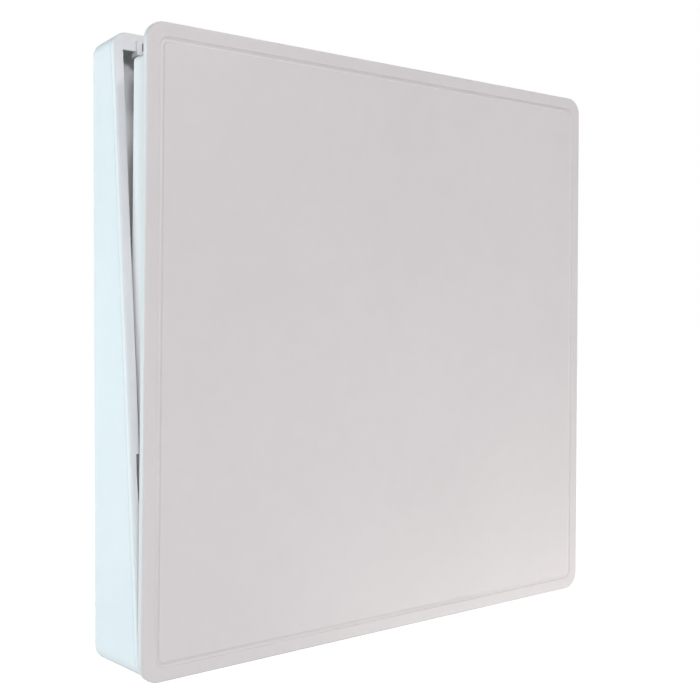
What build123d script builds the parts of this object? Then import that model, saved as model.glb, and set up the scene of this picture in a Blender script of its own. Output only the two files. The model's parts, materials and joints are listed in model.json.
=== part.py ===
"""Access point with a square hinged cover on a wedge-shaped mounting box.

The box screws to a wall or ceiling by a steel bracket let into its back. A bezel ring closes its slanted
front. The cover carries the radio on its inner face and turns on two pins low in the box, so that it swings
down for service. Two hooks at its top corners catch in keepers on the bezel.

Row frame, in millimetres: +Z up, -Y towards the viewer, the wall at Y = 0, and the origin at the centre of
the bracket's four screw holes. The cover is modelled a few degrees open, which is its rest position.
"""

import os
from math import atan2, cos, degrees, radians, sin

from build123d import *

# ---------------------------------------------------------------- driving sizes
COVER_SIZE = 240.0            # the square cover, edge to edge
COVER_EDGE = 3.0              # thickness seen at its edge
COVER_SKIN = 2.0              # thickness inside the lip
COVER_CORNER = 7.4
LIP_WIDTH = 2.6
REST_OPENING = 5.95           # degrees from closed to the rest position
CLOSED_GAP = 1.1              # between the lip and the bezel when closed

GROOVE_INSET = 6.2            # centre of the decorative groove, from the cover's edge
GROOVE_RADIUS = 1.1           # round bottom of the groove
GROOVE_DEPTH = 0.8
GROOVE_CORNER = 3.0

BOX_HALF_WIDTH = 118.9
BOX_BOTTOM = -120.0
BOX_TOP_REAR = 119.8
BOX_TOP_FRONT = 121.0
BOX_DEPTH_BOTTOM = 35.8
BOX_DEPTH_TOP = 17.45
BOX_CORNER = 5.8
BOX_WALL = 2.0
BACK_WALL = 1.5

BEZEL_HEIGHT = 2.7            # side of the bezel, down to the parting line
PARTING_LINE = 0.3            # fine groove where the bezel meets the box
FLANGE_THICKNESS = 1.5
FLANGE_SIDE = 3.8             # width of the flange seen from the front
FLANGE_TOP = 7.0
FLANGE_BOTTOM = 5.0

HINGE_UP = 6.2                # pin above the bezel's bottom edge, along the rim
HINGE_IN = 10.0               # pin behind the rim's plane
HINGE_X = 80.0                # pins left and right of the middle
PIN_RADIUS = 1.5
PIN_PRESS_GAP = 0.02          # round the pin in the box's ears
PIN_RUNNING_GAP = 0.05        # round the pin in the cover's arms

CASE_DEPTH = 17.3             # radio case behind the cover's lip
CASE_SIDE_INSET = 5.3         # radio case inside the cover's edge
CASE_TOP_INSET = 9.7
CASE_BOTTOM_INSET = 16.6
CASE_WALL = 2.0
BAY_HALF_WIDTH = 32.0         # bay that the network plugs hang in
BAY_TOP = 62.0

BRACKET_SIZE = 104.0
BRACKET_THICKNESS = 1.6
SCREW_SPACING = 80.0
SCREW_HOLE = 2.4
ACCESS_HOLE = 5.2
GROMMET_BORE = 4.0

# ---------------------------------------------------------------- frames worked out from them
BOX_RISE = BOX_TOP_FRONT - BOX_BOTTOM
WEDGE = degrees(atan2(BOX_DEPTH_BOTTOM - BOX_DEPTH_TOP, BOX_RISE))
LEAN = REST_OPENING - WEDGE   # the cover leans out past upright by this at rest
RIM_LENGTH = BOX_RISE / cos(radians(WEDGE))


def leaning_plane(origin, lean):
    """A plane facing the viewer whose top leans out by `lean` degrees: x right, y up it, z outwards."""
    return Plane(origin=origin, x_dir=(1, 0, 0), z_dir=(0, -cos(radians(lean)), -sin(radians(lean))))


RIM = leaning_plane((0, -BOX_DEPTH_BOTTOM, BOX_BOTTOM), -WEDGE).location
HINGE_POINT = (RIM * Location((0, HINGE_UP, -HINGE_IN))).position
COVER_RISE = 0.17             # closed, the cover starts this far above the rim's end
COVER_BOTTOM_TO_HINGE = HINGE_UP - COVER_RISE
LIP_TO_HINGE = HINGE_IN + CLOSED_GAP
COVER = leaning_plane(HINGE_POINT, LEAN).location * Location((0, -COVER_BOTTOM_TO_HINGE, LIP_TO_HINGE))

CASE_HALF_WIDTH = COVER_SIZE / 2 - CASE_SIDE_INSET
CASE_BOTTOM = CASE_BOTTOM_INSET
CASE_TOP = COVER_SIZE - CASE_TOP_INSET
CASE_FLOOR = -CASE_DEPTH + CASE_WALL         # inner face of the case's rear wall
RECESS = COVER_EDGE - COVER_SKIN             # the cover's inner face, in front of the lip's plane
CASE_MIDDLE = (CASE_BOTTOM + CASE_TOP) / 2


def block(x0, x1, y0, y1, z0, z1):
    """A box from its two corners."""
    size = Box(x1 - x0, y1 - y0, z1 - z0)
    return Pos((x0 + x1) / 2, (y0 + y1) / 2, (z0 + z1) / 2) * size


def slab(x, y, width, height, z0, z1):
    """A box from its middle and size in x and y, and its two ends in z."""
    return block(x - width / 2, x + width / 2, y - height / 2, y + height / 2, z0, z1)


def riser(x, y, z, radius, length):
    """A cylinder along y, from y upwards."""
    rod = Cylinder(radius, length, align=(Align.CENTER, Align.CENTER, Align.MIN))
    return Pos(x, y, z) * Rot(-90, 0, 0) * rod


def post(x, y, z0, z1, radius):
    """A cylinder along z."""
    return Pos(x, y, z0) * Cylinder(radius, z1 - z0, align=(Align.CENTER, Align.CENTER, Align.MIN))


def across(radius, x0, x1, y=0.0, z=0.0):
    """A cylinder along x."""
    rod = Cylinder(radius, x1 - x0, align=(Align.CENTER, Align.CENTER, Align.MIN))
    return Pos(x0, y, z) * Rot(0, 90, 0) * rod


def from_wall(x, z, y0, y1, radius):
    """A cylinder along the row's y, from y0 to y1."""
    rod = Cylinder(radius, y1 - y0, align=(Align.CENTER, Align.CENTER, Align.MIN))
    return Pos(x, y0, z) * Rot(-90, 0, 0) * rod


def screw(x, y, z, radius, length, head_radius, head_height, into=1):
    """A pan-head screw along z: head outside z, shank going in the `into` direction, with a cross recess."""
    shank = post(x, y, min(z, z + into * length), max(z, z + into * length), radius)
    top = z - into * head_height
    head = post(x, y, min(z, top), max(z, top), head_radius)
    outer = head.edges().filter_by(GeomType.CIRCLE).sort_by(Axis.Z)
    head = fillet(outer[0 if into > 0 else -1], head_height * 0.45)
    arm = head_radius * 0.55
    slot_width = head_radius * 0.26
    deep = head_height * 0.5
    z0, z1 = min(top, top + into * deep), max(top, top + into * deep)
    cross = block(x - arm, x + arm, y - slot_width / 2, y + slot_width / 2, z0, z1)
    cross += block(x - slot_width / 2, x + slot_width / 2, y - arm, y + arm, z0, z1)
    return shank + head - cross


# ---------------------------------------------------------------- mounting box
def wedge_block(inset, back):
    """The wedge's outline, set in by `inset`, from Y = -back; an inset one runs out past the front."""
    half_width = BOX_HALF_WIDTH - inset
    rise = (BOX_TOP_FRONT - BOX_TOP_REAR) / BOX_DEPTH_TOP
    reach = 0.0 if inset == 0 else 6.0
    front = -BOX_DEPTH_BOTTOM - reach
    top_front = -BOX_DEPTH_TOP - reach
    points = [
        (-back, BOX_BOTTOM + inset),
        (-back, BOX_TOP_REAR - inset + rise * back),
        (top_front, BOX_TOP_FRONT - inset + rise * reach),
        (front, BOX_BOTTOM + inset),
    ]
    face = make_face(Plane.YZ * Polyline(*points, close=True))
    solid = extrude(face, amount=half_width, both=True)
    corners = [e for e in solid.edges() if abs(e.tangent_at(0.5).X) < 0.01 and abs(e.tangent_at(0.5).Y) > 0.9]
    return fillet(corners, max(BOX_CORNER - inset, 1.0))


def rim_slab(v0, v1):
    """Everything between two distances in front of the rim's plane."""
    return RIM * block(-200, 200, -60, 320, v0, v1)


def outer_wedge():
    solid = wedge_block(0, 0)
    front = solid.faces().sort_by(Axis.Y)[0]
    solid = fillet(front.edges(), 1.0)
    rear = solid.faces().filter_by(Axis.Y).sort_by(Axis.Y)[-1]
    return fillet(rear.edges(), 1.2)


LUG_THICKNESS = 3.0
ARM_HALF_WIDTH = 4.0
LUG_GAP = 0.3
LUG_RADIUS = 3.1
SNAP_HEIGHTS = (30.0, 122.0, 206.0)
TONGUE_DEPTH = 5.6


def hinge_lugs(side):
    """The two ears that hold one pin."""
    _, y, z = HINGE_POINT
    lugs = []
    for inner in (-1, 1):
        near = side * HINGE_X + inner * (ARM_HALF_WIDTH + LUG_GAP)
        far = near + inner * LUG_THICKNESS
        x0, x1 = min(near, far), max(near, far)
        lug = across(LUG_RADIUS, x0, x1, y, z)
        lug += block(x0, x1, y - LUG_RADIUS, y + LUG_RADIUS, BOX_BOTTOM + 1.0, z)
        foot = LUG_RADIUS + 3.0
        lug += block(x0, x1, y - foot, y + foot, BOX_BOTTOM + 1.0, BOX_BOTTOM + BOX_WALL + 0.8)
        lugs.append(lug)
    return lugs


def bracket_hole_places():
    half = SCREW_SPACING / 2
    return [(x, z) for x in (-half, half) for z in (-half, half)]


def make_rear_housing():
    cavity = wedge_block(BOX_WALL, BACK_WALL)
    shell = outer_wedge() - cavity
    pocket = BRACKET_SIZE / 2 + 0.4
    skin = BRACKET_THICKNESS + BACK_WALL
    raised = block(-pocket - 1.6, pocket + 1.6, -skin, -BACK_WALL, -pocket - 1.6, pocket + 1.6)
    shell += raised
    shell -= block(-pocket, pocket, -BRACKET_THICKNESS, 1.0, -pocket, pocket)
    shell -= rim_slab(-BEZEL_HEIGHT, 60)
    for side in (-1, 1):
        for lug in hinge_lugs(side):
            shell += lug
        near = side * HINGE_X - 20
        shell -= across(PIN_RADIUS + PIN_PRESS_GAP, near, near + 40, HINGE_POINT.Y, HINGE_POINT.Z)
    for x, z in bracket_hole_places():
        shell -= from_wall(x, z, -skin - 1, 0, ACCESS_HOLE)
    shell -= from_wall(0, 0, -skin - 1, 0, GROMMET_SEAT)
    for x, z in BRACKET_RIVETS:
        shell -= from_wall(x, z, -skin - 1, 0, RIVET_RADIUS + 0.05)
    for side in (-1, 1):
        for u in SNAP_HEIGHTS:
            inner = side * (BOX_HALF_WIDTH - BOX_WALL - 0.5)
            outer = side * (BOX_HALF_WIDTH - BOX_WALL + 0.95)
            shell -= RIM * block(min(inner, outer), max(inner, outer), u - 6.2, u + 6.2, -5.2, -3.6)
    return shell


# ---------------------------------------------------------------- bezel and keepers
# each corner of the finger notch: height up the rim, depth into the flange
NOTCH_SHAPE = [(45.0, 0.0), (60.0, 0.9), (74.0, 1.4), (81.4, 1.25)]
NOTCH_CLEARING = 1.75         # the tongue behind the notch is cut away this deep
OPENING_HALF_WIDTH = BOX_HALF_WIDTH - FLANGE_SIDE
OPENING_LOW = FLANGE_BOTTOM
OPENING_HIGH = RIM_LENGTH - FLANGE_TOP

KEEPER_X = 104.6              # middle of the keeper
KEEPER_HALF_WIDTH = 5.0
KEEPER_LOW = OPENING_HIGH - 1.9
KEEPER_HIGH = OPENING_HIGH + 4.4
KEEPER_PROUD = 1.2
SLOT_HALF_WIDTH = 2.9
SLOT_LOW = OPENING_HIGH - 0.2
SLOT_HIGH = OPENING_HIGH + 3.1


def make_front_bezel():
    ring = outer_wedge() & rim_slab(-BEZEL_HEIGHT, 0.5)
    ring -= wedge_block(BOX_WALL, BACK_WALL) & rim_slab(-BEZEL_HEIGHT - 1, -FLANGE_THICKNESS)
    tongue = wedge_block(BOX_WALL + 0.1, BACK_WALL) & rim_slab(-TONGUE_DEPTH, -FLANGE_THICKNESS)
    tongue -= wedge_block(BOX_WALL + 1.3, BACK_WALL)
    ring += tongue
    ring -= rim_slab(-BEZEL_HEIGHT - 0.1, -BEZEL_HEIGHT + PARTING_LINE) - wedge_block(PARTING_LINE, 1.0)
    ring -= RIM * block(-OPENING_HALF_WIDTH, OPENING_HALF_WIDTH, OPENING_LOW, OPENING_HIGH, -4, 2)
    for side in (-1, 1):
        edge = side * OPENING_HALF_WIDTH
        corners = [(edge + side * deep, u) for u, deep in NOTCH_SHAPE]
        corners = [(edge - side, NOTCH_SHAPE[0][0])] + corners + [(edge - side, NOTCH_SHAPE[-1][0])]
        notch = extrude(make_face(Polyline(*corners, close=True)), FLANGE_THICKNESS + 2, dir=(0, 0, 1))
        ring -= RIM * Pos(0, 0, -FLANGE_THICKNESS - 0.3) * notch
        deep = edge + side * NOTCH_CLEARING
        low, high = NOTCH_SHAPE[0][0] - 2, NOTCH_SHAPE[-1][0] + 2
        near, far = sorted((edge - side, deep))
        behind = block(near, far, low, high, -TONGUE_DEPTH - 1, -FLANGE_THICKNESS)
        ring -= RIM * behind
        arm = side * HINGE_X
        below = -TONGUE_DEPTH - 1
        ring -= RIM * block(arm - 5, arm + 5, 1.8, OPENING_LOW + 1, below, 2)
        ring -= RIM * block(arm - 8, arm + 8, 1.8, OPENING_LOW + 1, below, -FLANGE_THICKNESS - 0.1)
        slot = side * KEEPER_X
        ring -= RIM * block(slot - 3.1, slot + 3.1, OPENING_HIGH - 1, SLOT_HIGH + 0.15, -3, 2)
        for u in SNAP_HEIGHTS:
            inner = side * (BOX_HALF_WIDTH - BOX_WALL - 0.3)
            outer = side * (BOX_HALF_WIDTH - BOX_WALL + 0.75)
            ring += RIM * block(min(inner, outer), max(inner, outer), u - 5, u + 5, -5.0, -3.9)
    return ring


def make_latch_keeper(side):
    middle = side * KEEPER_X
    x0, x1 = middle - KEEPER_HALF_WIDTH, middle + KEEPER_HALF_WIDTH
    keeper = block(x0, x1, KEEPER_LOW, KEEPER_HIGH, 0, KEEPER_PROUD)
    keeper += block(x0, x1, KEEPER_LOW, OPENING_HIGH, -3.4, KEEPER_PROUD)
    keeper += block(x0 + 1, middle - 3.3, OPENING_HIGH - 0.5, OPENING_HIGH + 2.0, -3.4, -FLANGE_THICKNESS)
    keeper += block(middle + 3.3, x1 - 1, OPENING_HIGH - 0.5, OPENING_HIGH + 2.0, -3.4, -FLANGE_THICKNESS)
    upper = keeper.edges().filter_by(Axis.Z).group_by(Axis.Y)[-1]
    keeper = fillet(upper, 0.8)
    front = keeper.faces().sort_by(Axis.Z)[-1]
    keeper = fillet(front.edges(), 0.3)
    slot = block(middle - SLOT_HALF_WIDTH, middle + SLOT_HALF_WIDTH, SLOT_LOW, SLOT_HIGH, -5, 3)
    slot = fillet(slot.edges().filter_by(Axis.Z), 0.5)
    return RIM * (keeper - slot)


# ---------------------------------------------------------------- bracket and cable entry
RIVET_RADIUS = 1.6
BRACKET_RIVETS = [(x, z) for x in (-46.0, 46.0) for z in (-22.0, 22.0)]
GROMMET_SEAT = 12.0


def make_wall_bracket():
    half = BRACKET_SIZE / 2
    plate = block(-half, half, -BRACKET_THICKNESS, 0, -half, half)
    plate = fillet(plate.edges().filter_by(Axis.Y), 6)
    plate -= from_wall(0, 0, -5, 5, 17.0)
    for x, z in bracket_hole_places():
        plate -= from_wall(x, z, -5, 5, SCREW_HOLE)
    for x, z in BRACKET_RIVETS:
        plate -= from_wall(x, z, -5, 5, RIVET_RADIUS + 0.05)
    for turn in range(4):
        slot = Pos(0, 0, 33) * block(-9, 9, -5, 5, -2, 2)
        plate -= Rot(0, 90 * turn, 0) * fillet(slot.edges().filter_by(Axis.Y), 1.9)
    return plate


def make_bracket_rivets():
    rivets = []
    skin = BRACKET_THICKNESS + BACK_WALL
    for x, z in BRACKET_RIVETS:
        rivet = from_wall(x, z, -skin, -0.4, RIVET_RADIUS)
        dome = from_wall(x, z, -skin - 1.0, -skin, 3.0)
        dome = fillet(dome.edges().filter_by(GeomType.CIRCLE).sort_by(Axis.Y)[0], 0.8)
        rivets.append(rivet + dome)
    return Compound(children=rivets)


def make_cable_grommet():
    skin = BRACKET_THICKNESS + BACK_WALL
    inside = from_wall(0, 0, -skin - 1.6, -skin, GROMMET_SEAT + 2.6)
    inside = fillet(inside.edges().filter_by(GeomType.CIRCLE).sort_by(Axis.Y)[0], 0.7)
    outside = from_wall(0, 0, -BRACKET_THICKNESS, -0.2, GROMMET_SEAT + 2.6)
    ring = inside + outside + from_wall(0, 0, -skin, -BRACKET_THICKNESS, GROMMET_SEAT - 0.02)
    collar = from_wall(0, 0, -skin - 4.4, -skin - 1.0, GROMMET_BORE + 1.8)
    return ring + collar - from_wall(0, 0, -20, 5, GROMMET_BORE)


def make_hinge_pin(side):
    _, y, z = HINGE_POINT
    reach = ARM_HALF_WIDTH + LUG_GAP + LUG_THICKNESS
    middle = side * HINGE_X
    pin = across(PIN_RADIUS, middle - reach, middle + reach + 2.0, y, z)
    head = across(2.6, middle - reach - 1.2, middle - reach, y, z)
    pin += fillet(head.edges().filter_by(GeomType.CIRCLE).sort_by(Axis.X)[0], 0.5)
    groove = across(4, middle + reach + 0.1, middle + reach + 0.8, y, z)
    groove -= across(1.1, middle + reach, middle + reach + 1, y, z)
    return pin - groove


def make_pin_clips():
    clips = []
    _, y, z = HINGE_POINT
    reach = ARM_HALF_WIDTH + LUG_GAP + LUG_THICKNESS
    for side in (-1, 1):
        near = side * HINGE_X + reach + 0.15
        clip = across(2.9, near, near + 0.6, y, z) - across(1.12, near - 1, near + 2, y, z)
        clip -= block(near - 1, near + 2, y - 0.9, y + 0.9, z, z + 5)
        clips.append(clip)
    return Compound(children=clips)


# ---------------------------------------------------------------- cover
def rounded_square(inset, radius):
    side = COVER_SIZE - 2 * inset
    return Pos(0, COVER_SIZE / 2) * RectangleRounded(side, side, radius)


def make_front_cover():
    plate = extrude(rounded_square(0, COVER_CORNER), COVER_EDGE)
    front = plate.faces().sort_by(Axis.Z)[-1]
    plate = fillet(front.edges(), 0.8)
    rear = plate.faces().sort_by(Axis.Z)[0]
    plate = fillet(rear.edges(), 0.4)
    plate -= extrude(rounded_square(LIP_WIDTH, COVER_CORNER - LIP_WIDTH), RECESS)
    level = COVER_EDGE + GROOVE_RADIUS - GROOVE_DEPTH
    path = rounded_square(GROOVE_INSET, GROOVE_CORNER).face().outer_wire().moved(Pos(0, 0, level))
    profile = Plane(origin=path @ 0, z_dir=path % 0) * Circle(GROOVE_RADIUS)
    plate -= sweep(profile, path=path)
    for x, y in CASE_SCREWS:
        plate += post(x, y, -6, RECESS + 0.2, 3.2) - post(x, y, -7, 0.5, 1.1)
    for side in (-1, 1):
        middle = side * KEEPER_X
        plate -= block(middle - 5.6, middle + 5.6, COVER_SIZE - 3.5, COVER_SIZE - 0.7, -1, 0.5)
    return COVER * plate


CASE_SCREWS = [(x, y) for x in (-106.0, 106.0) for y in (24.6, 90.0, 222.0)] + [(0.0, 96.0), (0.0, 222.0)]


def case_outline(inset, radius):
    """The case's U-shaped outline, grown inwards by `inset`, as a face."""
    width = 2 * (CASE_HALF_WIDTH - inset)
    height = CASE_TOP - CASE_BOTTOM - 2 * inset
    outline = Pos(0, CASE_MIDDLE) * RectangleRounded(width, height, radius)
    bay_half = BAY_HALF_WIDTH + inset
    low = CASE_BOTTOM - 5
    high = BAY_TOP + inset
    bay = Pos(0, (low + high) / 2) * Rectangle(2 * bay_half, high - low)
    return outline - bay


VENT_LENGTH = 26.0
VENT_WIDTH = 2.2
VENT_PITCH = 5.5
VENT_COUNT = 7
JACK_WIDTH = 15.6
JACK_DEEP = 16.0
JACK_LOW = -14.9
JACK_HIGH = -1.6
JACK_X = (-11.0, 11.0)
BUTTON_PLACE = (46.0, 74.0)
BUTTON_RADIUS = 1.3
SCREW_SINK = 1.0


def vent_places():
    """Middle of each vent slot in the case's rear wall, both sides."""
    places = []
    for side in (-1, 1):
        for n in range(VENT_COUNT):
            places.append((side * 74.0, 27.0 + n * VENT_PITCH))
    return places


def make_radio_case():
    tray = extrude(case_outline(0, 2.0), CASE_DEPTH + RECESS)
    tray = Pos(0, 0, -CASE_DEPTH) * tray
    rear = tray.faces().sort_by(Axis.Z)[0]
    tray = fillet(rear.edges(), 0.9)
    tray -= Pos(0, 0, CASE_FLOOR) * extrude(case_outline(CASE_WALL, 1.2), CASE_DEPTH + 4)
    for x, y in CASE_SCREWS:
        tray += post(x, y, CASE_FLOOR - 0.5, -6.1, 3.2)
        tray -= post(x, y, -CASE_DEPTH - 1, -5, 1.45)
        tray -= post(x, y, -CASE_DEPTH - 1, -CASE_DEPTH + SCREW_SINK + 1.3, 2.9)
    for x, y in BOARD_SCREWS:
        tray += post(x, y, CASE_FLOOR - 0.5, BOARD_LOW, 3.0)
        tray -= post(x, y, BOARD_LOW - 5, BOARD_LOW + 1, 0.95)
    for x, y in vent_places():
        slot = slab(x, y, VENT_LENGTH, VENT_WIDTH, -CASE_DEPTH - 1, CASE_FLOOR + 1)
        tray -= fillet(slot.edges().filter_by(Axis.Z), VENT_WIDTH / 2 - 0.05)
    for x in JACK_X:
        window = JACK_WIDTH + 0.4
        tray -= slab(x, BAY_TOP + 1, window, 4, JACK_LOW - 0.2, JACK_HIGH + 0.2)
    tray -= post(*BUTTON_PLACE, -CASE_DEPTH - 1, CASE_FLOOR + 1, BUTTON_RADIUS + 0.1)
    for side in (-1, 1):
        for x in (side * HINGE_X - ARM_SCREW_OFFSET, side * HINGE_X + ARM_SCREW_OFFSET):
            tray += slab(x, CASE_BOTTOM + 3.75, 4.8, 5.5, CASE_FLOOR - 0.5, ARM_SCREW_LEVEL + 2.4)
            tray -= riser(x, CASE_BOTTOM - 1, ARM_SCREW_LEVEL, 0.95, 8)
    return COVER * tray


# ---------------------------------------------------------------- hinge arms and hooks
ARM_SCREW_OFFSET = 8.5
ARM_SCREW_LEVEL = -14.2
PAD_LOW = CASE_BOTTOM - 2.6
PAD_TOP_LEVEL = -LIP_TO_HINGE - 0.5


def make_hinge_arm(side):
    middle = side * HINGE_X
    x0, x1 = middle - ARM_HALF_WIDTH, middle + ARM_HALF_WIDTH
    eye = across(3.0, x0, x1, COVER_BOTTOM_TO_HINGE, -LIP_TO_HINGE)
    arm = eye + block(x0, x1, COVER_BOTTOM_TO_HINGE, CASE_BOTTOM, -LIP_TO_HINGE - 3.0, -LIP_TO_HINGE + 3.0)
    pad = block(middle - 12, middle + 12, PAD_LOW, CASE_BOTTOM, -CASE_DEPTH + 0.9, PAD_TOP_LEVEL)
    pad = fillet(pad.edges().filter_by(Axis.Y), 1.2)
    arm += pad
    arm -= across(PIN_RADIUS + PIN_RUNNING_GAP, x0 - 1, x1 + 1, COVER_BOTTOM_TO_HINGE, -LIP_TO_HINGE)
    for x in (middle - ARM_SCREW_OFFSET, middle + ARM_SCREW_OFFSET):
        arm -= riser(x, PAD_LOW - 1, ARM_SCREW_LEVEL, 1.3, 6)
    return COVER * arm


def make_arm_screws():
    screws = []
    for side in (-1, 1):
        for x in (side * HINGE_X - ARM_SCREW_OFFSET, side * HINGE_X + ARM_SCREW_OFFSET):
            one = screw(0, 0, 0, 0.9, 7.0, 2.0, 1.3)
            screws.append(COVER * Pos(x, PAD_LOW, ARM_SCREW_LEVEL) * Rot(-90, 0, 0) * one)
    return Compound(children=screws)


HOOK_ROOT = 235.0             # underside of the hook, along the cover
HOOK_THICKNESS = 1.4


def make_latch_hook(side):
    middle = side * KEEPER_X
    tip = -CLOSED_GAP - 4.4
    stem = block(middle - 2.4, middle + 2.4, HOOK_ROOT, HOOK_ROOT + HOOK_THICKNESS, tip, RECESS)
    upper = HOOK_ROOT + HOOK_THICKNESS
    points = [(upper, tip + 2.2), (upper + 0.7, tip + 1.6), (upper, tip)]
    barb = make_face(Plane.YZ * Polyline(*points, close=True))
    hook = stem + Pos(middle, 0, 0) * extrude(barb, amount=2.4, both=True)
    foot = block(middle - 4.5, middle + 4.5, HOOK_ROOT - 3.6, upper, RECESS - 0.8, RECESS)
    return COVER * (hook + foot)


# ---------------------------------------------------------------- inside the radio case
BOARD_LOW = -9.6
BOARD_HIGH = -8.0
BOARD_SCREWS = [(x, y) for x in (-92.0, 92.0) for y in (72.0, 216.0)]
CANS = [(-42.0, 150.0, 46.0, 38.0), (12.0, 156.0, 40.0, 34.0), (62.0, 150.0, 38.0, 46.0)]
CAN_HEIGHT = 2.6
CAN_METAL = 0.4
PAD_INSET = 6.0
SPREADER_HIGH = CASE_FLOOR + 0.05 + 2.1


def make_main_board():
    board = block(-98, 98, BAY_TOP + 2.6, 224, BOARD_LOW, BOARD_HIGH)
    board = fillet(board.edges().filter_by(Axis.Z), 3)
    for x in JACK_X:
        half = JACK_WIDTH / 2 + 0.3
        board -= block(x - half, x + half, BAY_TOP, BAY_TOP + JACK_DEEP + 1.0, BOARD_LOW - 1, BOARD_HIGH + 1)
    for x, y in BOARD_SCREWS:
        board -= post(x, y, BOARD_LOW - 1, BOARD_HIGH + 1, 1.3)
    for x, y in CASE_SCREWS:
        board -= post(x, y, BOARD_LOW - 1, BOARD_HIGH + 1, 3.6)
    return COVER * board


def make_board_screws():
    screws = [screw(x, y, BOARD_HIGH, 0.9, 5.0, 2.2, 1.2, into=-1) for x, y in BOARD_SCREWS]
    return Compound(children=[COVER * one for one in screws])


def make_shield_cans():
    cans = []
    for x, y, width, height in CANS:
        top = BOARD_LOW - CAN_HEIGHT
        can = slab(x, y, width, height, top, BOARD_LOW)
        can = fillet(can.edges().filter_by(Axis.Z), 1.5)
        inner = slab(x, y, width - 2 * CAN_METAL, height - 2 * CAN_METAL, top + CAN_METAL, BOARD_LOW + 1)
        cans.append(COVER * (can - inner))
    return Compound(children=cans)


def make_thermal_pads():
    pads = []
    for x, y, width, height in CANS:
        top = BOARD_LOW - CAN_HEIGHT
        pad = slab(x, y, width - 2 * PAD_INSET, height - 2 * PAD_INSET, SPREADER_HIGH, top)
        pads.append(COVER * pad)
    return Compound(children=pads)


def make_heat_spreader():
    low = CASE_FLOOR + 0.05
    plate = block(-84, 84, 106, 196, low, SPREADER_HIGH)
    plate = fillet(plate.edges().filter_by(Axis.Z), 5)
    for n in range(9):
        x = -76 + n * 19.0
        plate -= block(x - 4, x + 4, 184, 190, low - 1, SPREADER_HIGH + 1)
        plate -= block(x - 4, x + 4, 112, 118, low - 1, SPREADER_HIGH + 1)
    return COVER * plate


def antenna(width, tall, foot):
    """A bent strip: a foot on z = 0, an upright at its far edge, and a folded top with a slot in it."""
    metal = 0.5
    strip = block(-width / 2, width / 2, 0, foot, 0, metal)
    strip += block(-width / 2, width / 2, foot - metal, foot, 0, tall)
    strip += block(-width / 2, width / 2, foot * 0.25, foot, tall - metal, tall)
    slot_end = width * 0.3 - 1.5
    strip -= block(-width / 2 + 3, slot_end, foot * 0.55, foot * 0.75, tall - 1, tall + 1)
    return strip


def make_low_band_antennas():
    found = []
    for x, y in ((-72.0, 206.0), (72.0, 206.0), (-72.0, 84.0), (72.0, 84.0)):
        found.append(COVER * Pos(x, y, BOARD_HIGH) * antenna(26, 6.6, 10))
    return Compound(children=found)


def make_high_band_antennas():
    found = []
    for x, y in ((-24.0, 206.0), (24.0, 206.0), (-84.0, 140.0), (80.0, 140.0)):
        found.append(COVER * Pos(x, y, BOARD_HIGH) * antenna(14, 5.0, 7))
    return Compound(children=found)


def make_lan_jack(x):
    half = JACK_WIDTH / 2
    body = block(x - half, x + half, BAY_TOP + 0.1, BAY_TOP + JACK_DEEP, JACK_LOW, JACK_HIGH)
    body = fillet(body.edges().filter_by(Axis.Y), 0.4)
    socket = block(x - 5.95, x + 5.95, BAY_TOP - 1, BAY_TOP + 12.5, JACK_HIGH - 9.6, JACK_HIGH - 1.6)
    key = block(x - 3.2, x + 3.2, BAY_TOP - 1, BAY_TOP + 12.5, JACK_LOW + 1.6, JACK_HIGH - 9.5)
    return COVER * (body - socket - key)


def make_jack_contacts():
    """Eight sprung wires in each jack, on the wall away from the latch."""
    contacts = []
    for x in JACK_X:
        for n in range(8):
            at = x - 3.57 + n * 1.02
            top = JACK_HIGH - 1.6
            wire = slab(at, BAY_TOP + 7.2, 0.4, 10.4, top - 0.6, top - 0.05)
            contacts.append(COVER * wire)
    return Compound(children=contacts)


BUTTON_END = -13.5
SWITCH_HEIGHT = 3.5


def make_reset_button():
    x, y = BUTTON_PLACE
    button = post(x, y, -CASE_DEPTH + 0.3, BUTTON_END, BUTTON_RADIUS)
    button += post(x, y, CASE_FLOOR + 0.1, CASE_FLOOR + 0.6, 2.2)
    return COVER * button


def make_reset_switch():
    x, y = BUTTON_PLACE
    body = block(x - 3, x + 3, y - 3, y + 3, BOARD_LOW - SWITCH_HEIGHT + 0.1, BOARD_LOW)
    body -= post(x, y, BOARD_LOW - SWITCH_HEIGHT - 1, BOARD_LOW - SWITCH_HEIGHT + 0.25, 1.8)
    return COVER * body


def make_case_screws():
    under_head = -CASE_DEPTH + SCREW_SINK + 1.3
    return Compound(children=[COVER * screw(x, y, under_head, 1.05, 14.0, 2.6, 1.5) for x, y in CASE_SCREWS])


# ---------------------------------------------------------------- write every node
def named_parts():
    parts = {
        "rear_housing": make_rear_housing(),
        "front_bezel": make_front_bezel(),
        "wall_bracket": make_wall_bracket(),
        "bracket_rivets": make_bracket_rivets(),
        "cable_grommet": make_cable_grommet(),
        "pin_clips": make_pin_clips(),
        "front_cover": make_front_cover(),
        "radio_case": make_radio_case(),
        "arm_screws": make_arm_screws(),
        "case_screws": make_case_screws(),
        "main_board": make_main_board(),
        "board_screws": make_board_screws(),
        "shield_cans": make_shield_cans(),
        "thermal_pads": make_thermal_pads(),
        "heat_spreader": make_heat_spreader(),
        "low_band_antennas": make_low_band_antennas(),
        "high_band_antennas": make_high_band_antennas(),
        "lan_jack_main": make_lan_jack(JACK_X[0]),
        "lan_jack_aux": make_lan_jack(JACK_X[1]),
        "jack_contacts": make_jack_contacts(),
        "reset_button": make_reset_button(),
        "reset_switch": make_reset_switch(),
    }
    for side, word in ((-1, "left"), (1, "right")):
        parts[f"latch_keeper_{word}"] = make_latch_keeper(side)
        parts[f"hinge_pin_{word}"] = make_hinge_pin(side)
        parts[f"hinge_arm_{word}"] = make_hinge_arm(side)
        parts[f"latch_hook_{word}"] = make_latch_hook(side)
    return parts


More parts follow.
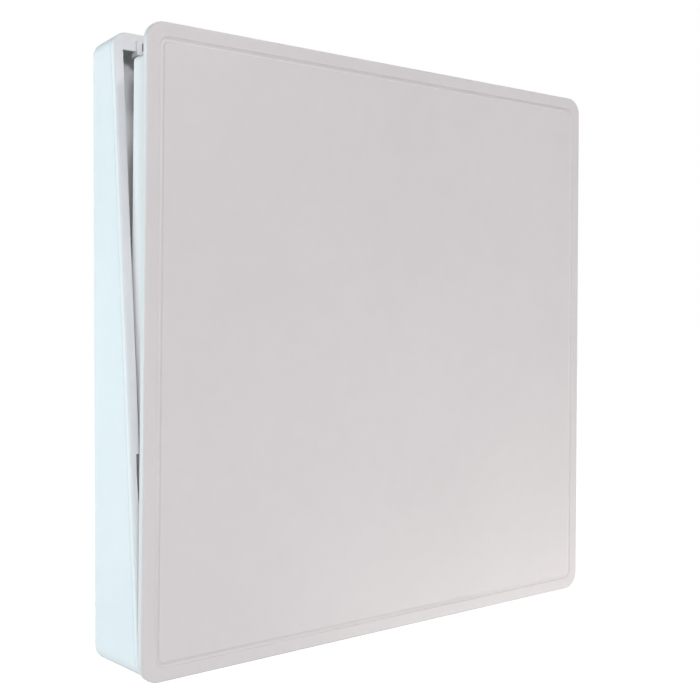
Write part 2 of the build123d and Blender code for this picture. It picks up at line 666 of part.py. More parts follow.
os.makedirs("parts", exist_ok=True)
for name, shape in named_parts().items():
    export_step(shape, f"parts/{name}.step")
print("wedge", round(WEDGE, 3), "degrees; lean", round(LEAN, 3), "degrees; hinge at", HINGE_POINT)
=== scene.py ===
"""Looks for the access point: finishes, small moulded detail, and the studio it stands in."""

import json
import math

import bmesh
import bpy
from bpy.props import FloatProperty, FloatVectorProperty, IntProperty, PointerProperty
from mathutils import Matrix, Vector


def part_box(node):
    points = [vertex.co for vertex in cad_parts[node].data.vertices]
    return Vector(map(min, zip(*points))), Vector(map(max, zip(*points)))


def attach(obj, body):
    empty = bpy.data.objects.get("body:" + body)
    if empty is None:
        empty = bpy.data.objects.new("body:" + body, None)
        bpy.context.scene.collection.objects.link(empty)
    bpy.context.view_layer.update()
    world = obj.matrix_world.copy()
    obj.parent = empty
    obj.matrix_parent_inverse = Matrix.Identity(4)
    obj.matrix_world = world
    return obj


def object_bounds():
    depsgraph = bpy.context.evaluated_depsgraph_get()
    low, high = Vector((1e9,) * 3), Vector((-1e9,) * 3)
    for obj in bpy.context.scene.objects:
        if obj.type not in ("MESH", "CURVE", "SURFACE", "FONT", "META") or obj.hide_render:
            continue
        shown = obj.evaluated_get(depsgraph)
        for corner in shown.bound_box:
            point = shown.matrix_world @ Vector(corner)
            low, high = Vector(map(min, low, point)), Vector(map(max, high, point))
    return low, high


bl_info = {
    "name": "Access Point Finish",
    "version": (1, 0, 0),
    "blender": (4, 5, 0),
    "location": "3D View > Sidebar > Access Point",
    "description": "Paints the access point's parts and builds its moulded detail and studio",
    "category": "Object",
}

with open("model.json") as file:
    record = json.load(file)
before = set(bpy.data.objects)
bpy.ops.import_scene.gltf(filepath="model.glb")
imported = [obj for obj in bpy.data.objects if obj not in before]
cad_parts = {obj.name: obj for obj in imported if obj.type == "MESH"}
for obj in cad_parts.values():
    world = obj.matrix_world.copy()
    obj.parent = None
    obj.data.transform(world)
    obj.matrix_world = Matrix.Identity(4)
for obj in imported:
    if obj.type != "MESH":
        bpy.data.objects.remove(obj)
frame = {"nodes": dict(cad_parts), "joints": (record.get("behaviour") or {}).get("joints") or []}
CAD_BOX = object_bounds()

BACK_WALL = 0.0015               # thickness of the box's back wall
BOARD_HALF_THICKNESS = 0.0008
SMALL_PACKAGE = (0.0016, 0.0008)  # width and height, in metres
LARGE_PACKAGE = (0.0050, 0.0011)
ROOM_CENTRE = (0.0, -0.02, 0.0)   # what the two main lights face


def colour(name, description, default):
    """A linear RGB colour that the user can change."""
    return FloatVectorProperty(name=name, description=description, default=default, size=3, min=0.0, max=1.0,
                               subtype="COLOR")


def amount(name, description, default, low=0.0, high=1.0):
    """A plain factor that the user can change."""
    return FloatProperty(name=name, description=description, default=default, min=low, max=high)


def length(name, description, default):
    """A length in metres that the user can change."""
    return FloatProperty(name=name, description=description, default=default, min=0.0, unit="LENGTH",
                         subtype="DISTANCE")


# ---------------------------------------------------------------- what a user would change
class ShellSettings(bpy.types.PropertyGroup):
    # The cover's white is set darker and warmer than the box's: painted shade and painted warm light standing
    # in for how the front is lit.
    cover: colour("Cover", "White of the hinged cover", (0.745, 0.715, 0.718))
    # The box's white is tinted blue and darkened: painted cool shade from the left light, laid over the whole
    # box and bezel.
    box: colour("Box", "White of the mounting box and its bezel", (0.805, 0.815, 0.83))
    case: colour("Radio case", "White of the case on the cover's back", (0.77, 0.745, 0.76))
    drift: amount("Drift", "How far the white wanders over a moulding", 0.035)
    roughness: amount("Roughness", "Roughness of the moulded white", 0.42)
    grain_size: length("Grain size", "Width of one grain of the mould's texture", 0.00045)
    grain_depth: length("Grain depth", "Height of the mould's texture", 0.000012)
    dust: amount("Dust", "Fine dust on surfaces that face up", 0.05)


class MetalSettings(bpy.types.PropertyGroup):
    zinc: colour("Zinc plate", "Colour of plated steel", (0.56, 0.575, 0.59))
    screw: colour("Screws", "Colour of screws, pins and clips", (0.50, 0.51, 0.52))
    aluminium: colour("Aluminium", "Colour of the heat spreader", (0.72, 0.73, 0.74))
    gold: colour("Contacts", "Colour of the jack's plated contacts", (0.83, 0.60, 0.26))
    roughness: amount("Roughness", "Roughness of the metal", 0.34)
    line_size: length("Line size", "Spacing of the rolling lines", 0.0004)


class SmallPartSettings(bpy.types.PropertyGroup):
    rubber: colour("Rubber", "Colour of the cable grommet", (0.028, 0.028, 0.030))
    jack: colour("Jack", "Colour of the jacks", (0.022, 0.022, 0.024))
    board: colour("Board", "Colour of the solder mask", (0.018, 0.115, 0.052))
    pad: colour("Thermal pad", "Colour of the soft thermal pads", (0.30, 0.33, 0.40))
    button: colour("Button", "Colour of the reset button", (0.34, 0.35, 0.36))


class DetailSettings(bpy.types.PropertyGroup):
    rib_height: length("Rib height", "How far the ribs stand off the back wall", 0.0009)
    rib_width: length("Rib width", "Thickness of one rib", 0.0014)
    rib_count: IntProperty(name="Ribs", description="Upright ribs on each side of the bracket", default=3,
                           min=1, max=8)
    mark_radius: length("Mark radius", "Radius of an ejector mark", 0.0032)
    lamp_width: length("Lamp width", "Width of a jack's light pipe", 0.0022)


class StageSettings(bpy.types.PropertyGroup):
    camera: FloatVectorProperty(name="Camera", description="Where the camera stands", size=3, unit="LENGTH",
                                subtype="TRANSLATION", default=(-0.315, -0.3999, 0.0056))
    yaw: FloatProperty(name="Yaw", description="Turn to the right of straight ahead", unit="ROTATION",
                       default=math.radians(39.09))
    pitch: FloatProperty(name="Pitch", description="Tilt above level", unit="ROTATION",
                         default=math.radians(1.62))
    roll: FloatProperty(name="Roll", description="Roll to the left", unit="ROTATION",
                        default=math.radians(-0.53))
    lens: FloatProperty(name="Lens", description="Focal length on a 36 mm sensor, in millimetres",
                        default=57.4)
    rise: FloatProperty(name="Rise", description="Upright shift of the lens, in image widths",
                        default=-0.0714)
    sky: amount("Sky", "Strength of the soft light from above", 0.26, 0.0, 5.0)
    ground: amount("Ground", "Strength of the soft light from below", 0.07, 0.0, 5.0)
    side_light: amount("Side light", "Power of the cool light at the left, in watts", 9.1, 0.0, 100.0)
    fill_light: amount("Fill light", "Power of the light beside the camera, in watts", 18.5, 0.0, 100.0)
    key_light: amount("Key light", "Power of the light at the upper right, in watts", 15.5, 0.0, 100.0)
    low_light: amount("Low light", "Power of the warm light at the lower right, in watts", 0.095, 0.0, 100.0)
    drop: length("Drop", "How far the floor lies below the box", 0.30)


# ---------------------------------------------------------------- node helpers
def new_group(name, inputs, outputs):
    """An empty shader node group with float, vector and colour sockets, and its two ends."""
    group = bpy.data.node_groups.new(name, "ShaderNodeTree")
    kinds = {"f": "NodeSocketFloat", "c": "NodeSocketColor", "v": "NodeSocketVector"}
    for label, kind, value in inputs:
        socket = group.interface.new_socket(label, in_out="INPUT", socket_type=kinds[kind])
        if value is not None:
            socket.default_value = value
    for label, kind in outputs:
        group.interface.new_socket(label, in_out="OUTPUT", socket_type=kinds[kind])
    return group, group.nodes.new("NodeGroupInput"), group.nodes.new("NodeGroupOutput")


def add(tree, kind, **settings):
    """A node with its settings and, by socket name or number, its values."""
    node = tree.nodes.new(kind)
    values = settings.pop("values", {})
    for key, value in settings.items():
        setattr(node, key, value)
    for key, value in values.items():
        node.inputs[key].default_value = value
    return node


def math_node(tree, operation, a, b=None, c=None, clamp=False):
    """A math node whose inputs are sockets or numbers; gives its output."""
    node = add(tree, "ShaderNodeMath", operation=operation, use_clamp=clamp)
    for place, value in enumerate((a, b, c)):
        if value is None:
            continue
        if isinstance(value, (int, float)):
            node.inputs[place].default_value = value
        else:
            tree.links.new(value, node.inputs[place])
    return node.outputs[0]


def mix_colour(tree, factor, a, b, mode="MIX"):
    """A colour mix whose inputs are sockets or colours; gives its output."""
    node = add(tree, "ShaderNodeMix", data_type="RGBA", blend_type=mode)
    for socket, value in ((node.inputs[0], factor), (node.inputs[6], a), (node.inputs[7], b)):
        if isinstance(value, bpy.types.NodeSocket):
            tree.links.new(value, socket)
        else:
            socket.default_value = value
    return node.outputs[2]


def part_position(tree):
    """The point's place on the part, in metres."""
    return add(tree, "ShaderNodeTexCoord").outputs["Object"]


# ---------------------------------------------------------------- effects that materials share
def grain_group():
    """Fine raised grain of a mould, with a few deeper pores."""
    group, start, end = new_group(
        "Mould Grain",
        [("Grains per metre", "f", 2200.0), ("Height", "f", 0.00001)],
        [("Height", "f"), ("Fleck", "f")])
    place = part_position(group)
    fine = add(group, "ShaderNodeTexNoise", values={"Detail": 3.0, "Roughness": 0.6})
    group.links.new(place, fine.inputs["Vector"])
    group.links.new(start.outputs[0], fine.inputs["Scale"])
    pores = add(group, "ShaderNodeTexVoronoi", feature="F1")
    group.links.new(place, pores.inputs["Vector"])
    group.links.new(math_node(group, "MULTIPLY", start.outputs[0], 0.45), pores.inputs["Scale"])
    pit = math_node(group, "SMOOTH_MIN", pores.outputs["Distance"], 0.5, 0.2)
    both = math_node(group, "ADD", fine.outputs["Fac"], pit)
    group.links.new(math_node(group, "MULTIPLY", both, start.outputs[1]), end.inputs[0])
    group.links.new(fine.outputs["Fac"], end.inputs[1])
    return group


def drift_group():
    """Slow wandering of a moulding's white and gloss, as flow and cooling leave it."""
    group, start, end = new_group(
        "Mould Drift",
        [("Colour", "c", (0.8, 0.8, 0.8, 1)), ("Amount", "f", 0.03), ("Patches per metre", "f", 9.0)],
        [("Colour", "c"), ("Gloss", "f")])
    place = part_position(group)
    slow = add(group, "ShaderNodeTexNoise", values={"Detail": 2.0, "Roughness": 0.45, "Distortion": 0.3})
    group.links.new(place, slow.inputs["Vector"])
    group.links.new(start.outputs[2], slow.inputs["Scale"])
    middle = add(group, "ShaderNodeTexNoise", values={"Detail": 4.0, "Roughness": 0.55})
    group.links.new(place, middle.inputs["Vector"])
    group.links.new(math_node(group, "MULTIPLY", start.outputs[2], 14.0), middle.inputs["Scale"])
    blend = math_node(group, "MULTIPLY_ADD", middle.outputs["Fac"], 0.35,
                      math_node(group, "MULTIPLY", slow.outputs["Fac"], 0.65))
    centred = math_node(group, "SUBTRACT", blend, 0.5)
    swing = math_node(group, "MULTIPLY", start.outputs[1], 4.0)
    factor = math_node(group, "MULTIPLY_ADD", centred, swing, 1.0)
    scaled = add(group, "ShaderNodeVectorMath", operation="SCALE")
    group.links.new(start.outputs[0], scaled.inputs[0])
    group.links.new(factor, scaled.inputs["Scale"])
    group.links.new(scaled.outputs[0], end.inputs[0])
    group.links.new(centred, end.inputs[1])
    return group


def dust_group():
    """A mask of fine dust on what faces up, broken by noise."""
    group, start, end = new_group("Settled Dust", [("Amount", "f", 0.05)], [("Mask", "f")])
    facing = add(group, "ShaderNodeNewGeometry").outputs["Normal"]
    parts = add(group, "ShaderNodeSeparateXYZ")
    group.links.new(facing, parts.inputs[0])
    up = math_node(group, "SUBTRACT", parts.outputs[2], 0.35, clamp=True)
    cloud = add(group, "ShaderNodeTexNoise", values={"Scale": 160.0, "Detail": 5.0, "Roughness": 0.7})
    group.links.new(part_position(group), cloud.inputs["Vector"])
    broken = math_node(group, "MULTIPLY", up, cloud.outputs["Fac"])
    scaled = math_node(group, "MULTIPLY", broken, start.outputs[0], clamp=True)
    group.links.new(scaled, end.inputs[0])
    return group


def rolled_group():
    """Rolling lines and cloudy spangle of plated sheet."""
    group, start, end = new_group(
        "Rolled Sheet",
        [("Lines per metre", "f", 2500.0), ("Height", "f", 0.000004)],
        [("Height", "f"), ("Streak", "f"), ("Spangle", "f")])
    place = part_position(group)
    stretch = add(group, "ShaderNodeMapping", values={"Scale": (0.04, 1.0, 1.0)})
    group.links.new(place, stretch.inputs["Vector"])
    lines = add(group, "ShaderNodeTexNoise", values={"Detail": 4.0, "Roughness": 0.65})
    group.links.new(stretch.outputs[0], lines.inputs["Vector"])
    group.links.new(start.outputs[0], lines.inputs["Scale"])
    spangle = add(group, "ShaderNodeTexVoronoi", feature="F1", values={"Scale": 240.0, "Randomness": 1.0})
    group.links.new(place, spangle.inputs["Vector"])
    shade = add(group, "ShaderNodeSeparateXYZ")
    group.links.new(spangle.outputs["Color"], shade.inputs[0])
    group.links.new(math_node(group, "MULTIPLY", lines.outputs["Fac"], start.outputs[1]), end.inputs[0])
    group.links.new(lines.outputs["Fac"], end.inputs[1])
    group.links.new(shade.outputs[0], end.inputs[2])
    return group


def shared(name, build):
    """The named group, built the first time that it's asked for."""
    return bpy.data.node_groups.get(name) or build()


def put_group(tree, name, build, values):
    """A shared group placed in a material with its own values."""
    node = tree.nodes.new("ShaderNodeGroup")
    node.node_tree = shared(name, build)
    for key, value in values.items():
        node.inputs[key].default_value = value
    return node


def empty_material(name):
    """A material with only a Principled shader and its output."""
    material = bpy.data.materials.new(name)
    material.use_nodes = True
    tree = material.node_tree
    tree.nodes.clear()
    shader = tree.nodes.new("ShaderNodeBsdfPrincipled")
    output = tree.nodes.new("ShaderNodeOutputMaterial")
    tree.links.new(shader.outputs[0], output.inputs[0])
    return material, tree, shader


def bump_from(tree, shader, height):
    """Sends a height in metres to the shader's normal."""
    bump = add(tree, "ShaderNodeBump", values={"Strength": 1.0, "Distance": 1.0})
    tree.links.new(height, bump.inputs["Height"])
    tree.links.new(bump.outputs[0], shader.inputs["Normal"])


def moulded_material(name, rgb, roughness, grain_size, grain_depth, drift=0.03, dust=0.0, specular=0.5):
    """Moulded plastic or rubber: grain, slow drift of colour and gloss, and a little dust."""
    material, tree, shader = empty_material(name)
    grain = put_group(tree, "Mould Grain", grain_group,
                      {"Grains per metre": 1.0 / grain_size, "Height": grain_depth})
    wander = put_group(tree, "Mould Drift", drift_group, {"Colour": (*rgb, 1.0), "Amount": drift})
    tone = wander.outputs["Colour"]
    rough = math_node(tree, "MULTIPLY_ADD", wander.outputs["Gloss"], 0.35, roughness)
    rough = math_node(tree, "MULTIPLY_ADD", grain.outputs["Fleck"], 0.06, rough)
    if dust > 0.0:
        settled = put_group(tree, "Settled Dust", dust_group, {"Amount": dust})
        tone = mix_colour(tree, settled.outputs["Mask"], tone, (0.42, 0.40, 0.37, 1.0))
        rough = math_node(tree, "MULTIPLY_ADD", settled.outputs["Mask"], 0.8, rough)
    tree.links.new(tone, shader.inputs["Base Color"])
    tree.links.new(rough, shader.inputs["Roughness"])
    shader.inputs["Specular IOR Level"].default_value = specular
    bump_from(tree, shader, grain.outputs["Height"])
    return material


def metal_material(name, rgb, roughness, line_size, spangle=0.0):
    """Plated or milled metal with rolling lines and, on zinc, a faint spangle."""
    material, tree, shader = empty_material(name)
    rolled = put_group(tree, "Rolled Sheet", rolled_group, {"Lines per metre": 1.0 / line_size})
    streaked = mix_colour(tree, math_node(tree, "MULTIPLY", rolled.outputs["Streak"], 0.35), (*rgb, 1.0),
                          (*[c * 0.72 for c in rgb], 1.0))
    if spangle > 0.0:
        patch = math_node(tree, "MULTIPLY", rolled.outputs["Spangle"], spangle)
        streaked = mix_colour(tree, patch, streaked, (*[min(1.0, c * 1.3) for c in rgb], 1.0))
    tree.links.new(streaked, shader.inputs["Base Color"])
    shader.inputs["Metallic"].default_value = 1.0
    tree.links.new(math_node(tree, "MULTIPLY_ADD", rolled.outputs["Streak"], 0.22, roughness - 0.08),
                   shader.inputs["Roughness"])
    bump_from(tree, shader, rolled.outputs["Height"])
    return material


def board_material(name, rgb):
    """Solder mask over etched tracks: a faint raised pattern with gloss."""
    material, tree, shader = empty_material(name)
    place = part_position(tree)
    tracks = add(tree, "ShaderNodeTexBrick", offset=0.37, squash=1.6,
                 values={"Scale": 190.0, "Mortar Size": 0.035, "Mortar Smooth": 0.3, "Bias": 0.1})
    tree.links.new(place, tracks.inputs["Vector"])
    grain = put_group(tree, "Mould Grain", grain_group, {"Grains per metre": 900.0, "Height": 0.000006})
    tone = mix_colour(tree, tracks.outputs["Fac"], (*rgb, 1.0), (*[min(1.0, c * 1.9) for c in rgb], 1.0))
    tree.links.new(tone, shader.inputs["Base Color"])
    rough = math_node(tree, "MULTIPLY_ADD", grain.outputs["Fleck"], 0.15, 0.22)
    tree.links.new(rough, shader.inputs["Roughness"])
    raised = math_node(tree, "MULTIPLY_ADD", tracks.outputs["Fac"], 0.00003, grain.outputs["Height"])
    bump_from(tree, shader, raised)
    return material


def paint(material, *nodes):
    """Gives CAD nodes one material in all their slots."""
    for name in nodes:
        if name not in frame["nodes"]:
            raise RuntimeError(f"there is no part named {name}")
        mesh = frame["nodes"][name].data
        mesh.materials.clear()
        mesh.materials.append(material)


# ---------------------------------------------------------------- mesh helpers
def add_block(bm, centre, size, turn=None):
    """A box in the mesh being built."""
    place = Matrix.Translation(centre)
    if turn is not None:
        place = place @ turn
    place = place @ Matrix.Diagonal((*size, 1.0))
    return bmesh.ops.create_cube(bm, size=1.0, matrix=place)["verts"]


def finish_piece(name, bm, body, material, soften):
    """Bevels the mesh, smooths its flats and rides it on a body."""
    bmesh.ops.bevel(bm, geom=list(bm.edges), offset=soften, segments=2, profile=0.7, affect="EDGES",
                    clamp_overlap=True)
    for face in bm.faces:
        face.smooth = True
    mesh = bpy.data.meshes.new(name)
    bm.to_mesh(mesh)
    bm.free()
    mesh.materials.append(material)
    piece = bpy.data.objects.new(name, mesh)
    bpy.context.scene.collection.objects.link(piece)
    sharp = piece.modifiers.new("Even shading", "WEIGHTED_NORMAL")
    sharp.keep_sharp = True
    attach(piece, body)
    return piece


def material_named(name):
    """A material that an earlier operator made."""
    material = bpy.data.materials.get(name)
    if material is None:
        raise RuntimeError(f"{name} isn't made yet: paint the parts first")
    return material


def cover_axes():
    """The leaning cover's own directions: across, up its face and out of it."""
    press = next(j for j in frame["joints"] if j["name"] == "reset_press")
    out = Vector(press["axis"]).normalized()
    across = Vector((1.0, 0.0, 0.0))
    return across, out.cross(across).normalized(), out


# ---------------------------------------------------------------- operators
class ACCESSPOINT_OT_paint_shells(bpy.types.Operator):
    """Paint the cover, the radio case, the mounting box and its bezel"""
    bl_idname = "accesspoint.paint_shells"
    bl_label = "Paint shells"

    def execute(self, context):
        shell = context.scene.accesspoint_shells
        common = {"grain_size": shell.grain_size, "grain_depth": shell.grain_depth, "drift": shell.drift,
                  "dust": shell.dust, "roughness": shell.roughness}
        # The cover material's darker, warmer white carries painted shade and painted warm light.
        paint(moulded_material("cover_white", tuple(shell.cover), **common), "front_cover")
        # The box material's blue tint is painted cool shade, shared by the bezel and the latch keepers.
        paint(moulded_material("box_white_painted_cool_shade", tuple(shell.box), **common), "rear_housing", "front_bezel",
              "latch_keeper_left", "latch_keeper_right")
        paint(moulded_material("case_white", tuple(shell.case), **common), "radio_case", "hinge_arm_left",
              "hinge_arm_right", "latch_hook_left", "latch_hook_right")
        return {"FINISHED"}


class ACCESSPOINT_OT_paint_metals(bpy.types.Operator):
    """Paint the bracket, screws, pins, antennas, spreader and contacts"""
    bl_idname = "accesspoint.paint_metals"
    bl_label = "Paint metals"

    def execute(self, context):
        metal = context.scene.accesspoint_metals
        rough, lines = metal.roughness, metal.line_size
        paint(metal_material("zinc_plate", tuple(metal.zinc), rough, lines, 0.3), "wall_bracket",
              "shield_cans", "low_band_antennas", "high_band_antennas")
        paint(metal_material("screw_plate", tuple(metal.screw), rough * 0.85, lines), "bracket_rivets",
              "hinge_pin_left", "hinge_pin_right", "pin_clips", "case_screws", "arm_screws", "board_screws")
        paint(metal_material("milled_aluminium", tuple(metal.aluminium), rough * 1.1, lines * 2.0),
              "heat_spreader")
        paint(metal_material("plated_contact", tuple(metal.gold), rough * 0.6, lines * 0.5), "jack_contacts")
        return {"FINISHED"}


class ACCESSPOINT_OT_paint_small_parts(bpy.types.Operator):
    """Paint the grommet, jacks, board, pads, switch and button"""
    bl_idname = "accesspoint.paint_small_parts"
    bl_label = "Paint small parts"

    def execute(self, context):
        small = context.scene.accesspoint_small
        paint(moulded_material("grommet_rubber", tuple(small.rubber), 0.62, 0.0007, 0.00003, 0.12, 0.25, 0.4),
              "cable_grommet")
        paint(moulded_material("jack_black", tuple(small.jack), 0.34, 0.0005, 0.00001, 0.1, 0.15),
              "lan_jack_main", "lan_jack_aux")
        paint(moulded_material("switch_black", tuple(small.jack), 0.45, 0.0004, 0.00001, 0.1), "reset_switch")
        paint(moulded_material("thermal_pad", tuple(small.pad), 0.72, 0.0006, 0.00004, 0.12, 0.0, 0.3),
              "thermal_pads")
        paint(moulded_material("button_grey", tuple(small.button), 0.5, 0.0004, 0.00001, 0.05),
              "reset_button")
        paint(board_material("solder_mask", tuple(small.board)), "main_board")
        return {"FINISHED"}


class ACCESSPOINT_OT_box_detail(bpy.types.Operator):
    """Build the low ribs and ejector marks inside the mounting box"""
    bl_idname = "accesspoint.box_detail"
    bl_label = "Build box detail"

    def execute(self, context):
        detail = context.scene.accesspoint_detail
        bracket_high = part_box("wall_bracket")[1]
        box_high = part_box("rear_housing")[1]
        wall = box_high.y - BACK_WALL
        height = detail.rib_height
        edge = bracket_high.x + 0.0065
        reach = (box_high.x - 0.016) - edge
        bm = bmesh.new()
        for side in (-1, 1):
            for n in range(detail.rib_count):
                x = side * (edge + reach * (n + 0.5) / detail.rib_count)
                add_block(bm, (x, wall - height / 2, 0.0), (detail.rib_width, height, 0.196))
        for level in (-0.086, 0.086):
            add_block(bm, (0.0, wall - height / 2, level), (0.098, height, detail.rib_width))
        # The ribs and ejector marks take the box white with its painted cool shade.
        finish_piece("box_ribs", bm, "housing", material_named("box_white_painted_cool_shade"), height * 0.3)
        bm = bmesh.new()
        for side in (-1, 1):
            for level in (-0.096, -0.07, 0.07, 0.098):
                place = Matrix.Translation((side * 0.036, wall - 0.0001, level)) @ Matrix.Rotation(
                    math.radians(90), 4, "X")
                bmesh.ops.create_cone(bm, cap_ends=True, segments=40, radius1=detail.mark_radius,
                                      radius2=detail.mark_radius * 0.94, depth=0.0003, matrix=place)
        finish_piece("ejector_marks", bm, "housing", material_named("box_white_painted_cool_shade"), 0.00005)
        return {"FINISHED"}


class ACCESSPOINT_OT_board_detail(bpy.types.Operator):
    """Build the small packages on the circuit board"""
    bl_idname = "accesspoint.board_detail"
    bl_label = "Build board detail"

    def execute(self, context):
        across, up, out = cover_axes()
        low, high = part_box("main_board")
        turn = Matrix((across, up, out)).transposed().to_4x4()
        middle = (low + high) / 2
        bm = bmesh.new()
        places = []
        for row in range(4):
            stagger = 0.002 * (row % 2)
            for n in range(11):
                places.append((-0.075 + n * 0.015 + stagger, -0.052 + row * 0.0062, *SMALL_PACKAGE))
        for n in range(6):
            places.append((-0.050 + n * 0.020, -0.0165, *LARGE_PACKAGE))
        for x, y, size, tall in places:
            centre = middle + across * x + up * y + out * (BOARD_HALF_THICKNESS + tall / 2)
            add_block(bm, centre, (size * 1.6, size, tall), turn)
        finish_piece("board_packages", bm, "cover", material_named("switch_black"), 0.00008)
        return {"FINISHED"}


class ACCESSPOINT_OT_jack_detail(bpy.types.Operator):
    """Build the light pipes beside each jack's mouth"""
    bl_idname = "accesspoint.jack_detail"
    bl_label = "Build jack detail"

    def execute(self, context):
        detail = context.scene.accesspoint_detail
        across, up, out = cover_axes()
        turn = Matrix((across, up, out)).transposed().to_4x4()
        clear = moulded_material("light_pipe", (0.62, 0.70, 0.60), 0.18, 0.0008, 0.000004, 0.05)
        bm = bmesh.new()
        for jack in ("lan_jack_main", "lan_jack_aux"):
            low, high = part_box(jack)
            middle = (low + high) / 2
            for side in (-1, 1):
                centre = middle + across * (side * 0.0050) + out * 0.00585 - up * 0.0079
                add_block(bm, centre, (detail.lamp_width, 0.0006, 0.0011), turn)
        finish_piece("jack_light_pipes", bm, "cover", clear, 0.0001)
        return {"FINISHED"}


def aim(obj, target):
    """Turns a lamp to face a point."""
    obj.rotation_euler = (Vector(target) - obj.location).to_track_quat("-Z", "Y").to_euler()


def area_lamp(name, place, target, size, watts, rgb):
    """A soft rectangular lamp."""
    data = bpy.data.lights.new(name, "AREA")
    data.shape = "RECTANGLE"
    data.size, data.size_y = size
    data.energy = watts
    data.color = rgb
    lamp = bpy.data.objects.new(name, data)
    lamp.location = place
    lamp.visible_camera = False
    bpy.context.scene.collection.objects.link(lamp)
    aim(lamp, target)
    return lamp


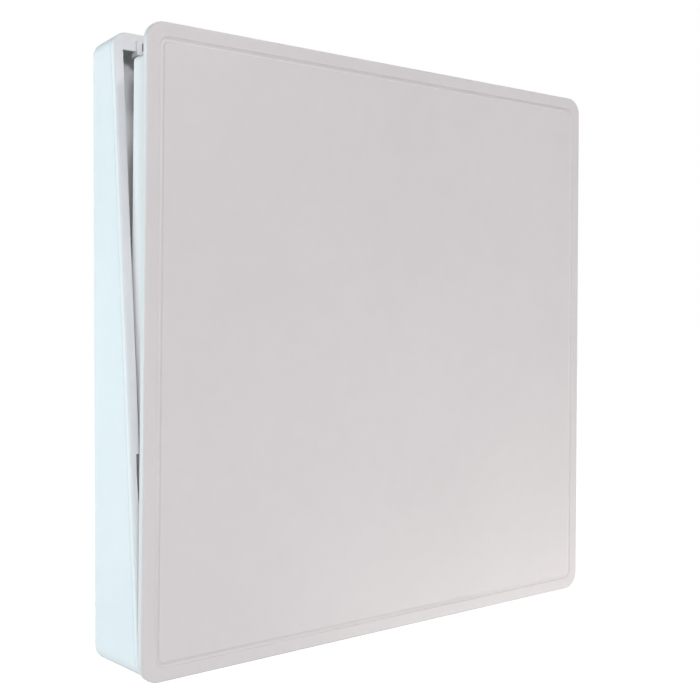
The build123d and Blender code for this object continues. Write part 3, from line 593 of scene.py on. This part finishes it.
class ACCESSPOINT_OT_stage(bpy.types.Operator):
    """Build the pale floor, the soft lights and the camera"""
    bl_idname = "accesspoint.stage"
    bl_label = "Build stage"

    def execute(self, context):
        stage = context.scene.accesspoint_stage
        low = CAD_BOX[0]
        self.build_floor(low.z - stage.drop)
        self.light_the_room(context.scene, stage)
        area_lamp("side_light", (-1.0, 0.62, 0.10), (-0.119, -0.02, 0.0), (0.7, 0.9), stage.side_light,
                  (0.76, 0.96, 1.0))
        area_lamp("fill_light", (-1.03, -1.95, 0.28), ROOM_CENTRE, (0.3, 0.3), stage.fill_light,
                  (0.98, 0.98, 1.0))
        area_lamp("key_light", (1.1, -1.3, 1.8), ROOM_CENTRE, (0.3, 0.3), stage.key_light,
                  (1.0, 0.96, 0.95))
        area_lamp("low_light", (0.14, -0.17, -0.20), (0.085, -0.04, -0.10), (0.10, 0.10), stage.low_light,
                  (1.0, 0.94, 0.88))
        data = bpy.data.cameras.new("camera")
        data.sensor_width = 36.0
        data.lens = stage.lens
        data.shift_y = stage.rise
        camera = bpy.data.objects.new("camera", data)
        context.scene.collection.objects.link(camera)
        turned = Matrix.Rotation(-stage.yaw, 4, "Z")
        turned @= Matrix.Rotation(math.radians(90) + stage.pitch, 4, "X")
        turned @= Matrix.Rotation(stage.roll, 4, "Z")
        camera.matrix_world = Matrix.Translation(stage.camera) @ turned
        context.scene.camera = camera
        context.scene.view_settings.view_transform = "Standard"
        context.scene.view_settings.look = "None"
        return {"FINISHED"}

    def build_floor(self, level):
        """A wide disc of pale floor that reads as white."""
        bm = bmesh.new()
        bmesh.ops.create_circle(bm, cap_ends=True, segments=96, radius=12.0,
                                matrix=Matrix.Translation((0.0, 0.0, level)))
        mesh = bpy.data.meshes.new("floor")
        bm.to_mesh(mesh)
        bm.free()
        floor = bpy.data.objects.new("floor", mesh)
        bpy.context.scene.collection.objects.link(floor)
        material, tree, shader = empty_material("floor_white")
        grain = put_group(tree, "Mould Grain", grain_group, {"Grains per metre": 90.0, "Height": 0.0002})
        tree.links.new(mix_colour(tree, grain.outputs["Fleck"], (0.80, 0.80, 0.80, 1), (0.86, 0.86, 0.86, 1)),
                       shader.inputs["Base Color"])
        shader.inputs["Roughness"].default_value = 0.9
        bump_from(tree, shader, grain.outputs["Height"])
        shader.inputs["Emission Color"].default_value = (1.0, 1.0, 1.0, 1.0)
        seen = add(tree, "ShaderNodeLightPath").outputs["Is Camera Ray"]
        tree.links.new(math_node(tree, "MULTIPLY", seen, 0.85), shader.inputs["Emission Strength"])
        mesh.materials.append(material)

    def light_the_room(self, scene, stage):
        """White to look at, and soft light that is stronger from above than from below."""
        world = bpy.data.worlds.new("studio")
        world.use_nodes = True
        scene.world = world
        tree = world.node_tree
        tree.nodes.clear()
        output = tree.nodes.new("ShaderNodeOutputWorld")
        way = add(tree, "ShaderNodeSeparateXYZ")
        tree.links.new(add(tree, "ShaderNodeTexCoord").outputs["Generated"], way.inputs[0])
        height = add(tree, "ShaderNodeMapRange", interpolation_type="SMOOTHSTEP",
                     values={"From Min": -0.6, "From Max": 0.8, "To Min": stage.ground, "To Max": stage.sky})
        tree.links.new(way.outputs[2], height.inputs["Value"])
        soft = add(tree, "ShaderNodeBackground", values={"Color": (0.985, 0.985, 1.0, 1.0)})
        tree.links.new(height.outputs[0], soft.inputs["Strength"])
        plain = add(tree, "ShaderNodeBackground", values={"Color": (1.0, 1.0, 1.0, 1.0), "Strength": 1.0})
        pick = tree.nodes.new("ShaderNodeMixShader")
        tree.links.new(add(tree, "ShaderNodeLightPath").outputs["Is Camera Ray"], pick.inputs[0])
        tree.links.new(soft.outputs[0], pick.inputs[1])
        tree.links.new(plain.outputs[0], pick.inputs[2])
        tree.links.new(pick.outputs[0], output.inputs[0])


class ACCESSPOINT_PT_sidebar(bpy.types.Panel):
    bl_label = "Access Point"
    bl_idname = "ACCESSPOINT_PT_sidebar"
    bl_space_type = "VIEW_3D"
    bl_region_type = "UI"
    bl_category = "Access Point"

    def draw(self, context):
        for name, label in SETTINGS_SHOWN:
            column = self.layout.column(align=True)
            column.label(text=label)
            settings = getattr(context.scene, name)
            for key in settings.__annotations__:
                column.prop(settings, key)
        for operator in OPERATORS:
            self.layout.operator(operator.bl_idname)


SETTINGS = {
    "accesspoint_shells": ShellSettings,
    "accesspoint_metals": MetalSettings,
    "accesspoint_small": SmallPartSettings,
    "accesspoint_detail": DetailSettings,
    "accesspoint_stage": StageSettings,
}
SETTINGS_SHOWN = [
    ("accesspoint_shells", "Shells"),
    ("accesspoint_metals", "Metals"),
    ("accesspoint_small", "Small parts"),
    ("accesspoint_detail", "Detail"),
    ("accesspoint_stage", "Stage"),
]
OPERATORS = [
    ACCESSPOINT_OT_paint_shells,
    ACCESSPOINT_OT_paint_metals,
    ACCESSPOINT_OT_paint_small_parts,
    ACCESSPOINT_OT_box_detail,
    ACCESSPOINT_OT_board_detail,
    ACCESSPOINT_OT_jack_detail,
    ACCESSPOINT_OT_stage,
]


def register():
    for item in [*SETTINGS.values(), *OPERATORS, ACCESSPOINT_PT_sidebar]:
        bpy.utils.register_class(item)
    for name, settings in SETTINGS.items():
        setattr(bpy.types.Scene, name, PointerProperty(type=settings))


def unregister():
    for name in SETTINGS:
        delattr(bpy.types.Scene, name)
    for item in reversed([*SETTINGS.values(), *OPERATORS, ACCESSPOINT_PT_sidebar]):
        bpy.utils.unregister_class(item)


def main():
    register()
    bpy.ops.accesspoint.paint_shells()
    bpy.ops.accesspoint.paint_metals()
    bpy.ops.accesspoint.paint_small_parts()
    bpy.ops.accesspoint.box_detail()
    bpy.ops.accesspoint.board_detail()
    bpy.ops.accesspoint.jack_detail()
    bpy.ops.accesspoint.stage()


if __name__ == "__main__":
    main()
